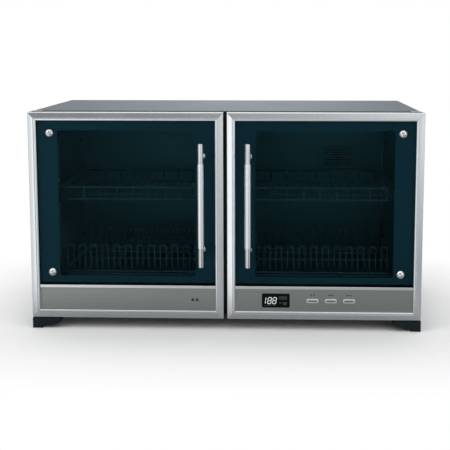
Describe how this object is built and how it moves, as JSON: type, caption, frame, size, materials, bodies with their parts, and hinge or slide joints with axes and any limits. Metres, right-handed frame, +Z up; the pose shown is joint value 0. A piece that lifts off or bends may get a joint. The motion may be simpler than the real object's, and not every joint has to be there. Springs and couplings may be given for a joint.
{
  "type": "dish sterilizer cabinet",
  "caption": "Low two-door dish sterilizer cabinet with tinted glass doors, bar handles, wire racks in two heated chambers and push-button controls.",
  "frame": {"origin": "on the ground, under the middle of the whole cabinet with its handles", "axes": "+X to the right along the width, -Y out of the doors so +Y points to the rear, +Z up"},
  "size_m": [0.8, 0.398, 0.45],
  "materials": {
    "brushed_stainless": "satin",
    "zinc_steel": "matte",
    "black_enamel": "satin",
    "liner_steel": "satin",
    "frame_aluminium": "satin",
    "bright_aluminium": "polished",
    "tinted_glass": "polished",
    "chrome": "polished",
    "satin_tube": "satin",
    "wire_chrome": "polished",
    "black_plastic": "matte",
    "grey_plastic": "matte",
    "gasket_rubber": "matte",
    "quartz": "satin",
    "insulation": "matte",
    "circuit_board": "satin",
    "display": "gloss",
    "button_silver": "gloss",
    "lamp_lens": "gloss"
  },
  "bodies": {
    "cabinet": {"back_panel": "zinc_steel", "base_pan": "zinc_steel", "cable_gland": "black_plastic", "case_screws": "zinc_steel", "catch_magnets": "black_plastic", "fan_grille": "grey_plastic", "fan_housing": "black_plastic", "front_frame": "black_enamel", "front_left_foot": "black_plastic", "front_right_foot": "black_plastic", "heater_guard": "wire_chrome", "heater_tubes": "quartz", "insulation_blanket": "insulation", "left_ladders": "wire_chrome", "left_liner": "liner_steel", "lower_hinges": "zinc_steel", "outer_wrap": "brushed_stainless", "ozone_cover": "grey_plastic", "ozone_generator": "grey_plastic", "power_board": "circuit_board", "rear_feet": "black_plastic", "right_ladders": "wire_chrome", "right_liner": "liner_steel", "temperature_probe": "chrome", "upper_hinges": "zinc_steel"},
    "left_door": {"left_door_frame": "frame_aluminium", "left_door_glass": "tinted_glass", "left_trim_bar": "bright_aluminium", "left_lower_panel": "brushed_stainless", "left_inner_panel": "black_plastic", "left_gasket": "gasket_rubber", "left_handle_tube": "satin_tube", "left_handle_ends": "chrome", "left_glass_studs": "chrome", "left_hinge_blocks": "grey_plastic", "left_door_keeper": "zinc_steel", "indicator_lamps": "lamp_lens"},
    "right_door": {"right_door_frame": "frame_aluminium", "right_door_glass": "tinted_glass", "right_trim_bar": "bright_aluminium", "right_lower_panel": "brushed_stainless", "right_inner_panel": "black_plastic", "right_gasket": "gasket_rubber", "right_handle_tube": "satin_tube", "right_handle_ends": "chrome", "right_glass_studs": "chrome", "right_hinge_blocks": "grey_plastic", "right_door_keeper": "zinc_steel", "display_window": "display", "display_board": "circuit_board"},
    "left_basket": {"left_upper_basket": "wire_chrome"},
    "left_plates": {"left_plate_rack": "wire_chrome"},
    "right_basket": {"right_upper_basket": "wire_chrome"},
    "right_plates": {"right_plate_rack": "wire_chrome"},
    "fan": {"fan_rotor": "black_plastic"},
    "first_button": {"button_1": "button_silver"},
    "second_button": {"button_2": "button_silver"},
    "third_button": {"button_3": "button_silver"}
  },
  "joints": [
    {"name": "left_door_hinge", "type": "hinge", "parent": "cabinet", "child": "left_door", "pos_m": [-0.39175, -0.144, 0.2355], "axis": [0, 0, -1], "range_deg": [0, 110]},
    {"name": "right_door_hinge", "type": "hinge", "parent": "cabinet", "child": "right_door", "pos_m": [0.39175, -0.144, 0.2355], "axis": [0, 0, 1], "range_deg": [0, 110]},
    {"name": "left_basket_slide", "type": "slide", "parent": "cabinet", "child": "left_basket", "axis": [0, -1, 0], "range_m": [0, 0.2]},
    {"name": "left_plates_slide", "type": "slide", "parent": "cabinet", "child": "left_plates", "axis": [0, -1, 0], "range_m": [0, 0.2]},
    {"name": "right_basket_slide", "type": "slide", "parent": "cabinet", "child": "right_basket", "axis": [0, -1, 0], "range_m": [0, 0.2]},
    {"name": "right_plates_slide", "type": "slide", "parent": "cabinet", "child": "right_plates", "axis": [0, -1, 0], "range_m": [0, 0.2]},
    {"name": "fan_spin", "type": "hinge", "parent": "cabinet", "child": "fan", "pos_m": [0.249, 0.172, 0.318], "axis": [0, 1, 0], "continuous": true},
    {"name": "first_button_press", "type": "slide", "parent": "right_door", "child": "first_button", "axis": [0, 1, 0], "range_m": [0, 0.001], "stiffness_N_per_m": 500, "springref_m": -0.001},
    {"name": "second_button_press", "type": "slide", "parent": "right_door", "child": "second_button", "axis": [0, 1, 0], "range_m": [0, 0.001], "stiffness_N_per_m": 500, "springref_m": -0.001},
    {"name": "third_button_press", "type": "slide", "parent": "right_door", "child": "third_button", "axis": [0, 1, 0], "range_m": [0, 0.001], "stiffness_N_per_m": 500, "springref_m": -0.001}
  ],
  "couplings": [
    {"joint": "left_basket_slide", "follows": "left_door_hinge", "m_per_rad": 0.06},
    {"joint": "left_plates_slide", "follows": "left_door_hinge", "m_per_rad": 0.06},
    {"joint": "right_basket_slide", "follows": "right_door_hinge", "m_per_rad": 0.06},
    {"joint": "right_plates_slide", "follows": "right_door_hinge", "m_per_rad": 0.06}
  ]
}
